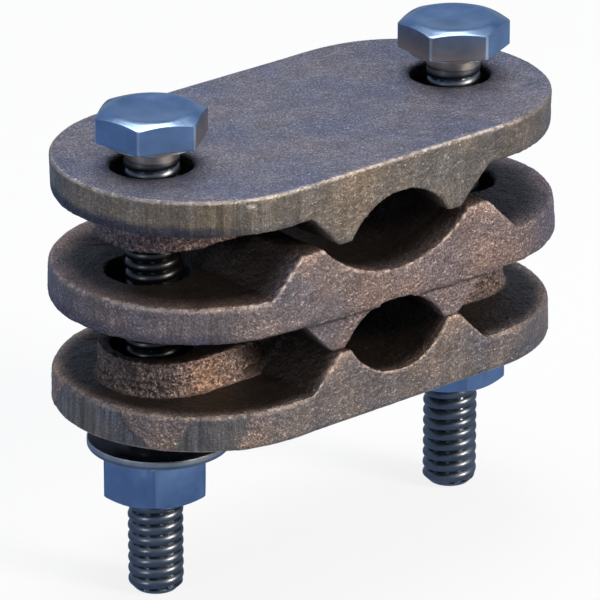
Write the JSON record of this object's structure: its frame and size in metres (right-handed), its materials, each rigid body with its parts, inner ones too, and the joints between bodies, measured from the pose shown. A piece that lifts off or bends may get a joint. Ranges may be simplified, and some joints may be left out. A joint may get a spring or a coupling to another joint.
{
  "type": "grounding clamp",
  "caption": "Grounding clamp: loose hex bolts draw ridged cast bronze plates together, gripping a ground rod in the lower channel and a conductor in the upper one.",
  "frame": {"origin": "middle of the rod channel, on the plane where the bottom and middle plates meet", "axes": "+X along the plates from the left bolt to the right one, +Y along the channels, +Z from the nuts towards the bolt heads"},
  "size_m": [0.0617, 0.033, 0.0554],
  "materials": {
    "cast_bronze": "as cast",
    "stainless": "bright"
  },
  "bodies": {
    "bottom_plate": {"bottom_plate": "cast_bronze"},
    "middle_plate": {"middle_plate": "cast_bronze"},
    "top_plate": {"top_plate": "cast_bronze"},
    "bolt_left": {"bolt_left": "stainless"},
    "washer_left": {"washer_left": "stainless"},
    "nut_left": {"nut_left": "stainless"},
    "bolt_right": {"bolt_right": "stainless"},
    "washer_right": {"washer_right": "stainless"},
    "nut_right": {"nut_right": "stainless"}
  },
  "joints": [
    {"name": "middle_plate_lift", "type": "slide", "parent": "bottom_plate", "child": "middle_plate", "axis": [0, 0, 1], "range_m": [0, 0.0014]},
    {"name": "top_plate_lift", "type": "slide", "parent": "middle_plate", "child": "top_plate", "axis": [0, 0, 1], "range_m": [0, 0.0023]},
    {"name": "bolt_left_slide", "type": "slide", "parent": "bottom_plate", "child": "bolt_left", "axis": [0, 0, 1], "range_m": [-0.00245, 0.00265]},
    {"name": "bolt_right_slide", "type": "slide", "parent": "bottom_plate", "child": "bolt_right", "axis": [0, 0, 1], "range_m": [-0.0026, 0.00115]},
    {"name": "washer_left_travel", "type": "slide", "parent": "bolt_left", "child": "washer_left", "axis": [0, 0, -1], "range_m": [-0.00265, 0.0102]},
    {"name": "nut_left_turn", "type": "hinge", "parent": "washer_left", "child": "nut_left", "pos_m": [-0.02135, 0, -0.0146], "axis": [0, 0, -1], "range_deg": [-750, 2880]},
    {"name": "washer_right_travel", "type": "slide", "parent": "bolt_right", "child": "washer_right", "axis": [0, 0, -1], "range_m": [-0.00115, 0.01145]},
    {"name": "nut_right_turn", "type": "hinge", "parent": "washer_right", "child": "nut_right", "pos_m": [0.0219, 0, -0.0131], "axis": [0, 0, -1], "range_deg": [-325, 3240]}
  ],
  "couplings": [
    {"joint": "washer_left_travel", "follows": "nut_left_turn", "m_per_rad": 0.00020213},
    {"joint": "washer_right_travel", "follows": "nut_right_turn", "m_per_rad": 0.00020213}
  ]
}
